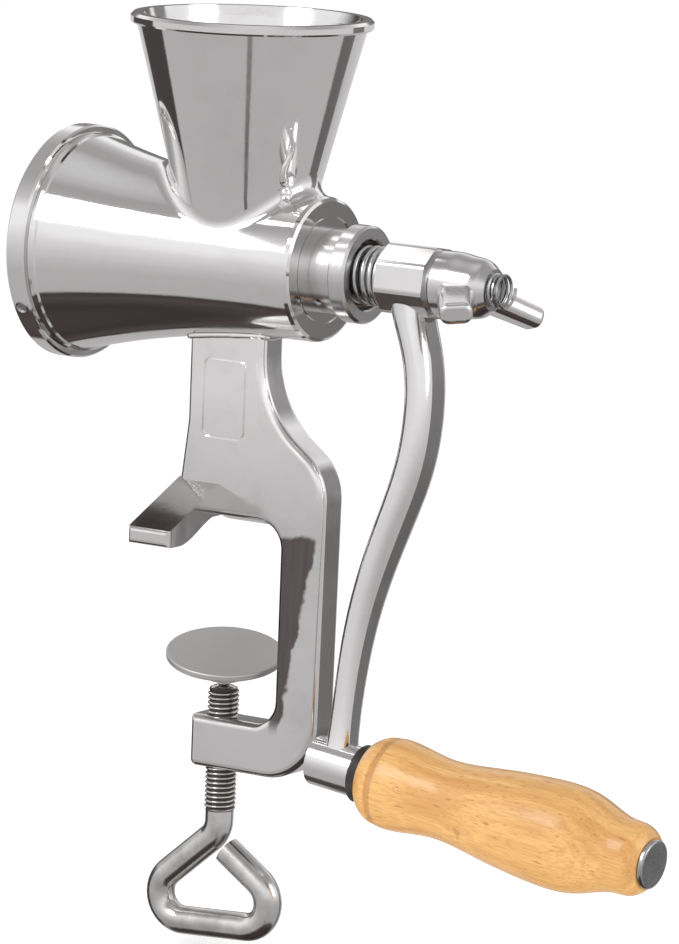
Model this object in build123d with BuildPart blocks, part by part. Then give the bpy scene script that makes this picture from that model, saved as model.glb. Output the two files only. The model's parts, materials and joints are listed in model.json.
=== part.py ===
"""Hand-crank table mill: one cast body with hopper and bell-shaped barrel, burr cone and ring,
spring-loaded crank with a wooden grip, and a screw clamp that hangs the mill on a table edge.

Frame: origin on the seat plane of the two jaw feet, on the clamp screw's axis.
+X runs along the shaft towards the crank, +Z is up, and the jaw feet lie in the plane Z = 0.
"""
import os
from math import atan2, cos, degrees, radians, sin

from build123d import *

os.makedirs("parts", exist_ok=True)

# ---------------------------------------------------------------- driving dimensions, mm
SHAFT_Z = 87.0            # height of the shaft axis above the jaw feet
SHAFT_R = 6.0             # journal radius
THREAD_R = 4.95           # M10 thread, major radius, on the shaft and on the clamp screw
THREAD_HOLE_R = 5.0       # matching threaded hole
FIT = 0.05                # radial running clearance

# body casting
MOUTH_X = -63.0           # front face of the bell
MOUTH_R = 36.8
RING_W = 7.0              # width of the flange round the mouth
BELL_START_R = 33.6       # outer radius just behind the flange
BELL_MID = (-18.0, 26.0)  # a point of the flare: X, radius
REAR_X = 32.5             # outer face of the rear wall
REAR_R = 22.5
REAR_WALL = 4.5
CHAMBER_R = 18.0          # feed chamber radius
SEAT_MOUTH_R = 33.0       # inner radius of the bell at the mouth
SEAT_NECK_X = -30.0
SEAT_NECK_R = 24.8        # inner radius where the ring seat ends
HOPPER_X = 2.0
HOPPER_TOP = 163.0
HOPPER_R = 37.6
LIP_H = 3.2
HOPPER_SLOPE = 0.26       # radius gained per mm of height
HOPPER_UNDER_LIP_R = 35.6
HOPPER_WALL = 2.6
SADDLE_FILLET = 5.0

# rear bearing
SPIGOT_R = 10.5
BOSS_R = 13.4
BOSS_END_X = 42.0
COLLAR_R = 15.2
COLLAR_END_X = 48.0
SPRING_POCKET_R = 10.8
POCKET_FLOOR_X = 40.0
BUSH_R = 8.0
BUSH_FLANGE_R = 10.0

# burrs and feed screw
RING_FRONT_X = -60.5
RING_WALL = 3.2
RUN_GAP = 0.9             # between ring crests and cone crests
FLUTES = 18
FLUTE_DEPTH = 1.6
CONE_FRONT_X = -60.5
CONE_REAR_X = -22.0
AUGER_FRONT_X = -22.0
AUGER_REAR_X = 25.0
AUGER_CORE_R = 7.5
AUGER_R = 14.5
AUGER_PITCH = 16.0
AUGER_FLIGHT = 3.0
KEY_SIDE = 3.0            # square key between the shaft and the cone
KEY_L = 14.0

# spring, crank and nut
WIRE_R = 1.0
SPRING_MEAN_R = 8.4
SPRING_COILS = 5
SEAT_WASHER_X = 55.5
SEAT_WASHER_T = 1.0
SEAT_WASHER_R = 10.2
CRANK_BOSS_END_X = 73.5
CRANK_BOSS_R = 11.6
DRIVE_END_X = 65.5        # where the driving flats end and the thread begins
FLAT_HALF = 4.9           # half the distance across the driving flats
SHAFT_TIP_X = 83.0
NUT_WASHER_T = 1.0
NUT_END_X = 92.8
NUT_BASE_R = 10.4
NUT_NOSE_R = 8.0
WING_DROOP = 18.5         # degrees each wing hangs below level
WING_LENGTH = 25.0
WING_TURN = 7.5           # degrees the whole nut is turned at rest
CRANK_SWING = 9.0         # degrees the hanging crank is swung towards the front
CRANK_LENGTH = 150.0      # shaft axis to grip pin
PIN_X = 59.0              # middle of the lower boss
PIN_TILT = 6.5            # degrees the grip pin leans outwards
PIN_BOSS_R = 7.8
PIN_BOSS_L = 16.4
PIN_R = 4.0
GRIP_WASHER_T = 3.0
GRIP_L = 100.5

# clamp frame
FRAME_HALF = 6.3          # half thickness
FRAME_ROUND = 2.4         # rounding of the frame's long edges
PANEL_GROOVE = 0.8        # width and depth of the groove round the neck's panel
NECK_LEFT = -13.5
NECK_RIGHT = 14.2
THROAT_TOP = 7.0
THROAT_BOTTOM = -57.0
COLUMN_IN = 22.5
COLUMN_OUT = 38.3
ARM_LEFT = -8.5
ARM_BOTTOM = -73.5
JAW_LEFT = -16.0
JAW_RIGHT = -0.5
JAW_REACH = 33.0
JAW_ROOT_Z = 17.5
JAW_TIP_Z = 5.0
FOOT_LENGTH = 7.0

# clamp screw and pad
BALL_Z = -42.0
BALL_R = 4.0
SCREW_TOP_Z = -48.2
THREAD_END_Z = -88.5
ROD_R = 4.5
PAD_R = 18.5
PAD_T = 2.2
PAD_TILT = 14.0           # degrees the pad lolls on its ball at rest
PAD_LOLL_AZIMUTH = 32.5   # direction of the tilt axis, degrees from +X

X_AXIS = Vector(1, 0, 0)
SHAFT_AXIS = Axis((0, 0, SHAFT_Z), (1, 0, 0))


def at_x(x):
    """Plane across the shaft at x, looking along +X, with its own x along +Y."""
    return Plane(origin=(x, 0, SHAFT_Z), x_dir=(0, 1, 0), z_dir=(1, 0, 0))


def across_shaft(x, z):
    """Plane across the shaft at x, centred at height z and looking along -X."""
    return Plane(origin=(x, 0, z), x_dir=(0, 1, 0), z_dir=(-1, 0, 0))


def save(builder, name):
    builder.part.label = name
    export_step(builder.part, f"parts/{name}.step")


def seat_radius(x):
    """Inner radius of the bell at x, along the cone that the grinding ring sits in."""
    share = (x - MOUTH_X) / (SEAT_NECK_X - MOUTH_X)
    return SEAT_MOUTH_R + share * (SEAT_NECK_R - SEAT_MOUTH_R)


# ---------------------------------------------------------------- body casting
# half-section plane of everything turned about the shaft: its own x runs along the shaft and its
# own y is the radius, measured downwards so that the seam stays under the barrel
TURNED = Plane(origin=(0, 0, SHAFT_Z), x_dir=(1, 0, 0), z_dir=(0, 1, 0))

with BuildPart() as barrel_solid:
    with BuildSketch(TURNED):
        with BuildLine():
            flange_back = MOUTH_X + RING_W
            bell_start = (flange_back + 2.5, BELL_START_R)
            Polyline(
                (REAR_X, 0),
                (MOUTH_X, 0),
                (MOUTH_X, MOUTH_R - 1.0),
                (MOUTH_X + 1.0, MOUTH_R),
                (flange_back - 0.6, MOUTH_R),
                (flange_back, MOUTH_R - 0.6),
                (flange_back, BELL_START_R + 0.6),
                (flange_back + 0.6, BELL_START_R + 0.2),
                (flange_back + 1.2, BELL_START_R + 0.9),
                (flange_back + 2.1, BELL_START_R + 0.7),
                bell_start,
            )
            ThreePointArc(bell_start, BELL_MID, (REAR_X - 1.8, REAR_R))
            Polyline(
                (REAR_X - 1.8, REAR_R),
                (REAR_X - 0.5, REAR_R - 0.35),
                (REAR_X, REAR_R - 1.3),
                (REAR_X, 0),
            )
        make_face()
    revolve(axis=SHAFT_AXIS)


def hopper_radius(z):
    """Outer radius of the hopper's cone at height z."""
    return HOPPER_UNDER_LIP_R - (HOPPER_TOP - LIP_H - z) * HOPPER_SLOPE


HOPPER_FOOT_Z = SHAFT_Z + 4.0
HOPPER_AXIS = Axis((HOPPER_X, 0, 0), (0, 0, 1))
# half-section plane of the hopper, turned so that its seam misses the barrel's seam
HOPPER_SECTION = Plane(origin=(HOPPER_X, 0, 0), x_dir=(0, -1, 0), z_dir=(-1, 0, 0))

with BuildPart() as mill_body:
    add(barrel_solid.part)
    with BuildSketch(HOPPER_SECTION):
        with BuildLine():
            Polyline(
                (0, HOPPER_FOOT_Z),
                (hopper_radius(HOPPER_FOOT_Z), HOPPER_FOOT_Z),
                (HOPPER_UNDER_LIP_R, HOPPER_TOP - LIP_H),
                (HOPPER_R - 0.5, HOPPER_TOP - LIP_H),
                (HOPPER_R, HOPPER_TOP - LIP_H + 0.6),
                (HOPPER_R, HOPPER_TOP - 0.9),
                (HOPPER_R - 0.9, HOPPER_TOP),
                (0, HOPPER_TOP),
                close=True,
            )
        make_face()
    revolve(axis=HOPPER_AXIS)
    saddle = [
        edge for edge in mill_body.edges()
        if edge.bounding_box().min.Z > SHAFT_Z + 5 and edge.bounding_box().max.Z < SHAFT_Z + 32
    ]
    fillet(saddle, SADDLE_FILLET)
    # hollow of the hopper
    with BuildSketch(HOPPER_SECTION):
        with BuildLine():
            Polyline(
                (0, HOPPER_FOOT_Z),
                (hopper_radius(HOPPER_FOOT_Z) - HOPPER_WALL, HOPPER_FOOT_Z),
                (hopper_radius(HOPPER_TOP - LIP_H) - HOPPER_WALL, HOPPER_TOP - LIP_H),
                (HOPPER_R - HOPPER_WALL - 1.0, HOPPER_TOP),
                (0, HOPPER_TOP),
                close=True,
            )
        make_face()
    revolve(axis=HOPPER_AXIS, mode=Mode.SUBTRACT)
    # bell cavity, feed chamber and the hole for the bearing spigot
    with BuildSketch(TURNED):
        with BuildLine():
            Polyline(
                (MOUTH_X, 0),
                (MOUTH_X, SEAT_MOUTH_R),
                (SEAT_NECK_X, SEAT_NECK_R),
                (SEAT_NECK_X, SEAT_NECK_R - RING_WALL),
                (SEAT_NECK_X + 14, CHAMBER_R),
                (REAR_X - REAR_WALL, CHAMBER_R),
                (REAR_X - REAR_WALL, SPIGOT_R),
                (REAR_X, SPIGOT_R),
                (REAR_X, 0),
                close=True,
            )
        make_face()
    revolve(axis=SHAFT_AXIS, mode=Mode.SUBTRACT)
    # shallow step ring turned on the rear face
    with BuildSketch(at_x(REAR_X)):
        Circle(BOSS_R + 3.4)
        Circle(BOSS_R + 2.8, mode=Mode.SUBTRACT)
    extrude(amount=-0.4, mode=Mode.SUBTRACT)
    # three threaded holes through the mouth flange for the ring screws
    for angle in (90, 210, 330):
        direction = Vector(0, cos(radians(angle)), sin(radians(angle)))
        with BuildSketch(Plane(origin=Vector(MOUTH_X + 3.5, 0, SHAFT_Z) + direction * 27, z_dir=direction)):
            Circle(2.0)
        extrude(amount=14, mode=Mode.SUBTRACT)
save(mill_body, "mill_body")


# ---------------------------------------------------------------- clamp frame
with BuildPart() as clamp_frame:
    corners = [  # x, z and radius of each corner of the frame's outline
        (NECK_LEFT, SHAFT_Z - 18, 0), (NECK_LEFT, 36, 20), (JAW_LEFT, JAW_ROOT_Z - 3, 4),
        (JAW_LEFT, THROAT_TOP, 0), (COLUMN_IN, THROAT_TOP, 8), (COLUMN_IN, THROAT_BOTTOM, 8),
        (ARM_LEFT, THROAT_BOTTOM, 0.6), (ARM_LEFT, ARM_BOTTOM, 2.0), (COLUMN_OUT - 0.8, ARM_BOTTOM, 18),
        (COLUMN_OUT, 24.2, 18), (NECK_RIGHT, 42.2, 32), (NECK_RIGHT, SHAFT_Z - 18, 0),
    ]
    with BuildSketch(Plane.XZ.offset(-FRAME_HALF)):
        with BuildLine():
            Polyline(*[(x, z) for x, z, _ in corners], close=True)
        make_face()
        for x, z, radius in corners:
            if radius:
                local = min(vertices(), key=lambda v: (v.X - x) ** 2 + (v.Y - z) ** 2)
                fillet(local, radius)
    extrude(amount=2 * FRAME_HALF)
    rims = [
        edge for edge in clamp_frame.edges()
        if abs(abs(edge.center().Y) - FRAME_HALF) < 0.01 and edge.center().Z < SHAFT_Z - 19
    ]
    fillet(rims, FRAME_ROUND)
    # saddle-shaped jaw: two arms that droop from the frame to a flat foot each
    with BuildSketch(Plane.YZ.offset(JAW_LEFT)):
        with BuildLine():
            Polyline((-FRAME_HALF + 1, JAW_ROOT_Z), (-JAW_REACH, JAW_TIP_Z), (-JAW_REACH, 0),
                     (-JAW_REACH + FOOT_LENGTH, 0))
            Spline((-JAW_REACH + FOOT_LENGTH, 0), (-17, 3.4), (-9, THROAT_TOP),
                   tangents=((1, 0.15), (1, 0.3)))
            Line((-9, THROAT_TOP), (9, THROAT_TOP))
            Spline((9, THROAT_TOP), (17, 3.4), (JAW_REACH - FOOT_LENGTH, 0),
                   tangents=((1, -0.3), (1, -0.15)))
            Polyline((JAW_REACH - FOOT_LENGTH, 0), (JAW_REACH, 0), (JAW_REACH, JAW_TIP_Z),
                     (FRAME_HALF - 1, JAW_ROOT_Z), (-FRAME_HALF + 1, JAW_ROOT_Z))
        make_face()
    extrude(amount=JAW_RIGHT - JAW_LEFT)
    tip_edges = [edge for edge in clamp_frame.edges() if abs(abs(edge.center().Y) - JAW_REACH) < 0.6]
    fillet(tip_edges, 1.6)
    # panel outlined by a groove on both faces of the neck
    for side in (-1, 1):
        with BuildSketch(Plane(origin=(0.5, side * FRAME_HALF, 44), x_dir=(1, 0, 0), z_dir=(0, side, 0))):
            RectangleRounded(16, 25.4, 2.8)
            RectangleRounded(16 - 2 * PANEL_GROOVE, 25.4 - 2 * PANEL_GROOVE, 2.0, mode=Mode.SUBTRACT)
        extrude(amount=-PANEL_GROOVE, mode=Mode.SUBTRACT)
    # top of the neck is cut to the underside of the barrel
    add(barrel_solid.part, mode=Mode.SUBTRACT)
    with BuildSketch(Plane.XY.offset(ARM_BOTTOM - 1)):
        Circle(THREAD_HOLE_R)
    extrude(amount=THROAT_BOTTOM - ARM_BOTTOM + 2, mode=Mode.SUBTRACT)
save(clamp_frame, "clamp_frame")


# ---------------------------------------------------------------- rear bearing
def half_section(points):
    """Closed half profile on the shaft's section plane, given as (x, radius) corners."""
    with BuildSketch(TURNED) as profile:
        with BuildLine():
            Polyline(*points, close=True)
        make_face()
    return profile.sketch


with BuildPart() as bearing_housing:
    revolve(half_section([
        (REAR_X - REAR_WALL - 1, BUSH_R), (REAR_X - REAR_WALL - 1, SPIGOT_R), (REAR_X, SPIGOT_R),
        (REAR_X, BOSS_R), (BOSS_END_X, BOSS_R), (BOSS_END_X, COLLAR_R - 0.8),
        (BOSS_END_X + 0.8, COLLAR_R), (COLLAR_END_X - 0.8, COLLAR_R), (COLLAR_END_X, COLLAR_R - 0.8),
        (COLLAR_END_X, SPRING_POCKET_R + 0.5), (COLLAR_END_X - 0.5, SPRING_POCKET_R),
        (POCKET_FLOOR_X - 1.5, SPRING_POCKET_R), (POCKET_FLOOR_X - 1.5, BUSH_R),
    ]), axis=SHAFT_AXIS)
    screw_direction = Vector(0, -cos(radians(40)), -sin(radians(40)))
    screw_seat = Vector(36, 0, SHAFT_Z)
    with BuildSketch(Plane(origin=screw_seat + screw_direction * BUSH_R, z_dir=screw_direction)):
        Circle(1.6)
    extrude(amount=8, mode=Mode.SUBTRACT)
save(bearing_housing, "bearing_housing")

with BuildPart() as bearing_set_screw:
    with BuildSketch(Plane(origin=screw_seat + screw_direction * BUSH_R, z_dir=screw_direction)):
        Circle(1.6)
    extrude(amount=4.6)
    socket_plane = Plane(origin=screw_seat + screw_direction * (BUSH_R + 2.8), z_dir=screw_direction)
    with BuildSketch(socket_plane):
        RegularPolygon(0.95, 6)
    extrude(amount=3, mode=Mode.SUBTRACT)
save(bearing_set_screw, "bearing_set_screw")

with BuildPart() as shaft_bush:
    revolve(half_section([
        (REAR_X - REAR_WALL - 1, SHAFT_R + FIT), (REAR_X - REAR_WALL - 1, BUSH_R),
        (POCKET_FLOOR_X - 1.5, BUSH_R), (POCKET_FLOOR_X - 1.5, BUSH_FLANGE_R),
        (POCKET_FLOOR_X, BUSH_FLANGE_R), (POCKET_FLOOR_X, SHAFT_R + FIT),
    ]), axis=SHAFT_AXIS)
save(shaft_bush, "shaft_bush")


# ---------------------------------------------------------------- grinding ring and its screws
RING_REAR_X = SEAT_NECK_X


def ring_bore(x):
    return seat_radius(x) - RING_WALL


with BuildPart() as grinding_ring:
    revolve(half_section([
        (RING_FRONT_X, ring_bore(RING_FRONT_X)), (RING_FRONT_X, seat_radius(RING_FRONT_X)),
        (RING_REAR_X, seat_radius(RING_REAR_X)), (RING_REAR_X, ring_bore(RING_REAR_X)),
    ]), axis=SHAFT_AXIS)
    flute_slope = degrees(atan2(SEAT_MOUTH_R - SEAT_NECK_R, SEAT_NECK_X - MOUTH_X))
    mid_x = (RING_FRONT_X + RING_REAR_X) / 2
    for index in range(FLUTES):
        turn = 360 * index / FLUTES
        radial = Vector(0, 0, 1).rotate(Axis.X, turn)
        along = Vector(cos(radians(flute_slope)), 0, -sin(radians(flute_slope))).rotate(Axis.X, turn)
        corner = Vector(mid_x, 0, SHAFT_Z) + radial * ring_bore(mid_x)
        with BuildSketch(Plane(origin=corner - along * 20, x_dir=along.cross(radial), z_dir=along)):
            with BuildLine():
                Polyline((-1.5, -0.6), (1.5, -0.6), (0, FLUTE_DEPTH), close=True)
            make_face()
        extrude(amount=40, mode=Mode.SUBTRACT)
save(grinding_ring, "grinding_ring")

with BuildPart() as ring_screws:
    for angle in (90, 210, 330):
        direction = Vector(0, cos(radians(angle)), sin(radians(angle)))
        seat = Vector(MOUTH_X + 3.5, 0, SHAFT_Z) + direction * (seat_radius(MOUTH_X + 1.5) + 0.05)
        with BuildSketch(Plane(origin=seat, z_dir=direction)):
            Circle(2.0)
        extrude(amount=3.6)
save(ring_screws, "ring_screws")


# ---------------------------------------------------------------- rotor
def cone_radius(x):
    """Crest radius of the grinding cone: parallel to the ring, then drawn in to its rear end."""
    if x <= RING_REAR_X:
        return ring_bore(x) - RUN_GAP
    share = (x - RING_REAR_X) / (CONE_REAR_X - RING_REAR_X)
    return ring_bore(RING_REAR_X) - RUN_GAP - 4.5 * share


with BuildPart() as grinding_cone:
    revolve(half_section([
        (CONE_FRONT_X, SHAFT_R), (CONE_FRONT_X, cone_radius(CONE_FRONT_X)),
        (RING_REAR_X, cone_radius(RING_REAR_X)), (CONE_REAR_X, cone_radius(CONE_REAR_X)),
        (CONE_REAR_X, SHAFT_R),
    ]), axis=SHAFT_AXIS)
    revolve(half_section([
        (CONE_FRONT_X, 0), (CONE_FRONT_X, 24), (CONE_FRONT_X + 3, 21), (CONE_FRONT_X + 3, 12),
        (CONE_FRONT_X + 1, 10), (CONE_FRONT_X + 1, 0),
    ]), axis=SHAFT_AXIS, mode=Mode.SUBTRACT)
    for index in range(FLUTES):
        turn = 360 * (index + 0.5) / FLUTES
        radial = Vector(0, 0, 1).rotate(Axis.X, turn)
        along = Vector(cos(radians(flute_slope)), 0, -sin(radians(flute_slope))).rotate(Axis.X, turn)
        corner = Vector(mid_x, 0, SHAFT_Z) + radial * (ring_bore(mid_x) - RUN_GAP)
        with BuildSketch(Plane(origin=corner - along * 20, x_dir=along.cross(radial), z_dir=along)):
            with BuildLine():
                Polyline((-1.5, 0.6), (1.5, 0.6), (0, -FLUTE_DEPTH), close=True)
            make_face()
        extrude(amount=46, mode=Mode.SUBTRACT)
    # keyway
    with BuildSketch(across_shaft(CONE_REAR_X, SHAFT_Z + SHAFT_R)):
        Rectangle(KEY_SIDE, KEY_SIDE)
    extrude(amount=18, mode=Mode.SUBTRACT)
save(grinding_cone, "grinding_cone")

with BuildPart() as drive_key:
    with BuildSketch(across_shaft(CONE_REAR_X - 2, SHAFT_Z + SHAFT_R)):
        Rectangle(KEY_SIDE, KEY_SIDE)
    extrude(amount=KEY_L)
save(drive_key, "drive_key")

with BuildPart() as main_shaft:
    revolve(half_section([
        (CONE_FRONT_X + 1, 0), (CONE_FRONT_X + 1, SHAFT_R), (SEAT_WASHER_X - 0.5, SHAFT_R),
        (DRIVE_END_X, SHAFT_R), (DRIVE_END_X, THREAD_R), (SHAFT_TIP_X - 1, THREAD_R),
        (SHAFT_TIP_X, THREAD_R - 1), (SHAFT_TIP_X, 0),
    ]), axis=SHAFT_AXIS)
    # flats that drive the crank
    for side in (-1, 1):
        with BuildSketch(Plane(origin=(SEAT_WASHER_X - 4, side * (FLAT_HALF + 2), SHAFT_Z),
                               x_dir=(0, 1, 0), z_dir=(1, 0, 0))):
            Rectangle(4, 14)
        extrude(amount=DRIVE_END_X - SEAT_WASHER_X + 4, mode=Mode.SUBTRACT)
    # tapped hole for the cone bolt
    with BuildSketch(at_x(CONE_FRONT_X + 1)):
        Circle(3.0)
    extrude(amount=16, mode=Mode.SUBTRACT)
    # keyway
    with BuildSketch(across_shaft(CONE_REAR_X - 2, SHAFT_Z + SHAFT_R)):
        Rectangle(KEY_SIDE, KEY_SIDE)
    extrude(amount=KEY_L, mode=Mode.SUBTRACT)
save(main_shaft, "main_shaft")

with BuildPart() as cone_washer:
    revolve(half_section([(CONE_FRONT_X - 0.5, 3.2), (CONE_FRONT_X - 0.5, 9.0), (CONE_FRONT_X + 1, 9.0),
            (CONE_FRONT_X + 1, 3.2)]), axis=SHAFT_AXIS)
save(cone_washer, "cone_washer")

with BuildPart() as cone_bolt:
    head_x = CONE_FRONT_X - 0.5
    with BuildSketch(across_shaft(head_x, SHAFT_Z)):
        RegularPolygon(5.7, 6)
    extrude(amount=1.9)
    with BuildSketch(at_x(head_x)):
        Circle(3.0)
    extrude(amount=14)
save(cone_bolt, "cone_bolt")

with BuildPart() as feed_auger:
    revolve(half_section([
        (AUGER_FRONT_X, SHAFT_R), (AUGER_FRONT_X, AUGER_CORE_R),
        (AUGER_REAR_X, AUGER_CORE_R), (AUGER_REAR_X, SHAFT_R),
    ]), axis=SHAFT_AXIS)
    flight_mid = (AUGER_CORE_R - 0.6 + AUGER_R) / 2
    flight_depth = AUGER_R - AUGER_CORE_R + 0.6
    length = AUGER_REAR_X - AUGER_FRONT_X - AUGER_FLIGHT - 1
    start = Plane(origin=(AUGER_FRONT_X + 2, 0, SHAFT_Z), x_dir=(0, 0, 1), z_dir=(1, 0, 0))
    with BuildLine():
        helix = Helix(AUGER_PITCH, length, flight_mid, center=start.origin, direction=(1, 0, 0))
    radial = (helix @ 0 - start.origin).normalized()
    with BuildSketch(Plane(origin=helix @ 0, x_dir=radial, z_dir=helix % 0)):
        Rectangle(flight_depth, AUGER_FLIGHT)
    sweep(path=helix, is_frenet=True)
save(feed_auger, "feed_auger")

with BuildPart() as thrust_washer:
    revolve(half_section([(AUGER_REAR_X + 0.2, SHAFT_R + 0.05), (AUGER_REAR_X + 0.2, 9.5),
            (AUGER_REAR_X + 1.6, 9.5), (AUGER_REAR_X + 1.6, SHAFT_R + 0.05)]), axis=SHAFT_AXIS)
save(thrust_washer, "thrust_washer")


# ---------------------------------------------------------------- spring
with BuildPart() as crank_spring:
    spring_start = POCKET_FLOOR_X + WIRE_R + 0.05
    spring_length = SEAT_WASHER_X - POCKET_FLOOR_X - 2 * WIRE_R - 0.1
    with BuildLine():
        coil = Helix(spring_length / SPRING_COILS, spring_length, SPRING_MEAN_R,
                     center=(spring_start, 0, SHAFT_Z), direction=(1, 0, 0))
    with BuildSketch(Plane(origin=coil @ 0, z_dir=coil % 0)):
        Circle(WIRE_R)
    sweep(path=coil, is_frenet=True)
save(crank_spring, "crank_spring")

with BuildPart() as spring_washer:
    washer_back_x = SEAT_WASHER_X + SEAT_WASHER_T
    revolve(half_section([
        (SEAT_WASHER_X, SHAFT_R + 0.3), (SEAT_WASHER_X, SEAT_WASHER_R),
        (washer_back_x, SEAT_WASHER_R), (washer_back_x, SHAFT_R + 0.3),
    ]), axis=SHAFT_AXIS)
save(spring_washer, "spring_washer")


# ---------------------------------------------------------------- crank
DOWN = Vector(0, -sin(radians(CRANK_SWING)), -cos(radians(CRANK_SWING)))
SIDE = X_AXIS.cross(DOWN)
BOSS_X = SEAT_WASHER_X + SEAT_WASHER_T
PIN_AXIS = X_AXIS * cos(radians(PIN_TILT)) + DOWN * sin(radians(PIN_TILT))
PIN_CENTRE = Vector(PIN_X, 0, SHAFT_Z) + DOWN * CRANK_LENGTH
# stations of the arm: x, distance from the shaft, width, thickness
ARM_STATIONS = [
    (65.0, 2.0, 16.0, 12.0), (66.0, 11.0, 15.0, 10.4), (70.0, 21.0, 14.6, 9.6), (73.0, 34.0, 14.5, 9.2),
    (73.4, 47.0, 14.4, 9.2), (70.2, 66.0, 14.0, 9.0), (64.2, 87.0, 12.8, 8.4), (60.4, 107.0, 11.6, 7.6),
    (59.2, 124.0, 10.8, 7.0), (59.0, CRANK_LENGTH - 12, 10.6, 7.2), (59.0, CRANK_LENGTH - 2, 12.0, 9.0),
]


def pin_plane(distance):
    """Plane across the grip pin at a distance along it from the middle of the lower boss."""
    return Plane(origin=PIN_CENTRE + PIN_AXIS * distance, x_dir=SIDE, z_dir=PIN_AXIS)


with BuildPart() as crank_arm:
    for index, (x, reach, width, thickness) in enumerate(ARM_STATIONS):
        before = ARM_STATIONS[max(index - 1, 0)]
        after = ARM_STATIONS[min(index + 1, len(ARM_STATIONS) - 1)]
        heading = (X_AXIS * (after[0] - before[0]) + DOWN * (after[1] - before[1])).normalized()
        station = Vector(x, 0, SHAFT_Z) + DOWN * reach
        with BuildSketch(Plane(origin=station, x_dir=SIDE, z_dir=heading)):
            RectangleRounded(width, thickness, 0.42 * thickness)
    loft()
    with BuildSketch(Plane(origin=(BOSS_X, 0, SHAFT_Z), x_dir=SIDE, z_dir=(1, 0, 0))):
        RegularPolygon(CRANK_BOSS_R, 8, rotation=22.5)
        fillet(vertices(), 2.6)
    extrude(amount=CRANK_BOSS_END_X - BOSS_X)
    with BuildSketch(pin_plane(-PIN_BOSS_L / 2)):
        Circle(PIN_BOSS_R)
    extrude(amount=PIN_BOSS_L)
    # bore: round near the shaft's journal, with flats that the shaft drives
    with BuildSketch(at_x(BOSS_X)):
        Circle(SHAFT_R + FIT)
        Rectangle(2 * FLAT_HALF + 0.1, 14, mode=Mode.INTERSECT)
    extrude(amount=CRANK_BOSS_END_X - BOSS_X, mode=Mode.SUBTRACT)
    with BuildSketch(pin_plane(-PIN_BOSS_L / 2 + 2)):
        Circle(PIN_R)
    extrude(amount=PIN_BOSS_L, mode=Mode.SUBTRACT)
save(crank_arm, "crank_arm")

GRIP_START = PIN_BOSS_L / 2 + GRIP_WASHER_T
with BuildPart() as grip_washer:
    with BuildSketch(pin_plane(PIN_BOSS_L / 2)):
        Circle(9.0)
        Circle(PIN_R, mode=Mode.SUBTRACT)
    extrude(amount=GRIP_WASHER_T)
save(grip_washer, "grip_washer")

with BuildPart() as grip_bolt:
    with BuildSketch(pin_plane(-PIN_BOSS_L / 2 + 2)):
        Circle(PIN_R)
    extrude(amount=GRIP_START + GRIP_L + 0.6 + PIN_BOSS_L / 2 - 2)
    with BuildSketch(pin_plane(GRIP_START + GRIP_L + 0.3)):
        Circle(7.6)
    extrude(amount=1.4)
    head_edge = grip_bolt.edges().filter_by(GeomType.CIRCLE).sort_by(lambda edge: edge.center().X)[-1]
    fillet(head_edge, 0.7)
save(grip_bolt, "grip_bolt")

GRIP_SECTION = Plane(origin=PIN_CENTRE + PIN_AXIS * GRIP_START, x_dir=PIN_AXIS, z_dir=SIDE)
SLEEVE_R = 5.0
with BuildPart() as grip_sleeve:
    with BuildSketch(pin_plane(GRIP_START + 0.2)):
        Circle(SLEEVE_R)
        Circle(PIN_R + FIT, mode=Mode.SUBTRACT)
    extrude(amount=GRIP_L - 0.2)
save(grip_sleeve, "grip_sleeve")

with BuildPart() as wooden_grip:
    with BuildSketch(GRIP_SECTION):
        with BuildLine():
            Polyline((0.2, SLEEVE_R), (0.2, 8.6))
            Spline((0.2, 8.6), (3.2, 12.6), (6.4, 13.7), tangents=((0.1, 1), (1, 0.05)))
            Polyline((6.4, 13.7), (7.0, 13.1), (7.8, 13.9))
            Spline((7.8, 13.9), (14.5, 13.8), (25, 12.4), (45, 14.2), (63, 16.1), (78, 15.4), (92, 11.4),
                   (GRIP_L, 8.2), tangents=((1, 0.2), (0.8, -1)))
            Polyline((GRIP_L, 8.2), (GRIP_L, SLEEVE_R), (0.2, SLEEVE_R))
        make_face()
    revolve(axis=Axis(GRIP_SECTION.origin, PIN_AXIS))
save(wooden_grip, "wooden_grip")


# ---------------------------------------------------------------- wing nut
NUT_X = CRANK_BOSS_END_X + NUT_WASHER_T
with BuildPart() as nut_washer:
    revolve(half_section([
        (CRANK_BOSS_END_X, SHAFT_R + 0.3), (CRANK_BOSS_END_X, 9.6), (NUT_X, 9.6), (NUT_X, SHAFT_R + 0.3),
    ]), axis=SHAFT_AXIS)
save(nut_washer, "nut_washer")

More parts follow.
